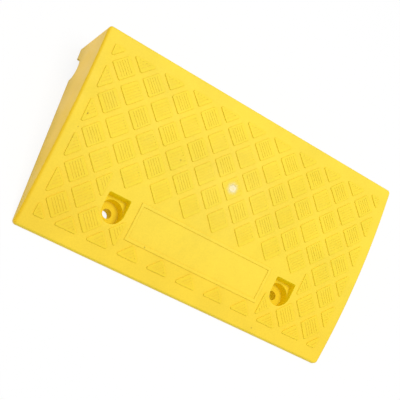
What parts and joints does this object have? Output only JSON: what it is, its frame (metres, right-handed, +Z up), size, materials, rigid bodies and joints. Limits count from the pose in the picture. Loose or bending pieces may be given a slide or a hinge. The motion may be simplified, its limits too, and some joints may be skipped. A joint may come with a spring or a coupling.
{
  "type": "threshold ramp",
  "caption": "Moulded plastic kerb ramp: a wedge with a crowned deck of raised anti-slip tiles, two-stage bolt pockets, a drain arch at each end and a ribbed hollow underside.",
  "frame": {"origin": "on the ground, in the middle of the ramp's length and depth", "axes": "+X along the kerb, +Y from the toe towards the kerb face, +Z up"},
  "size_m": [0.5, 0.27, 0.0896],
  "materials": {
    "yellow_plastic": "moulded satin with a fine grain",
    "gate_mark": "stress-whitened stub of the moulding gate"
  },
  "bodies": {
    "root": {"cross_rib_1": "yellow_plastic", "cross_rib_2": "yellow_plastic", "cross_rib_3": "yellow_plastic", "cross_rib_4": "yellow_plastic", "cross_rib_5": "yellow_plastic", "cross_rib_6": "yellow_plastic", "deck": "yellow_plastic", "gate_scar": "gate_mark", "kerb_wall": "yellow_plastic", "left_bolt_boss": "yellow_plastic", "left_end_wall": "yellow_plastic", "long_rib_1": "yellow_plastic", "long_rib_2": "yellow_plastic", "long_rib_3": "yellow_plastic", "plaque_border": "yellow_plastic", "right_bolt_boss": "yellow_plastic", "right_end_wall": "yellow_plastic", "toe_bar": "yellow_plastic", "tread_corners": "yellow_plastic", "tread_half_tiles": "yellow_plastic", "tread_kerb_border": "yellow_plastic", "tread_left_border": "yellow_plastic", "tread_right_border": "yellow_plastic", "tread_row_1": "yellow_plastic", "tread_row_2": "yellow_plastic", "tread_row_3": "yellow_plastic", "tread_row_4": "yellow_plastic", "tread_row_5": "yellow_plastic", "tread_row_6": "yellow_plastic", "tread_row_7": "yellow_plastic", "tread_row_8": "yellow_plastic", "tread_row_9": "yellow_plastic", "tread_toe_border": "yellow_plastic"}
  },
  "joints": []
}
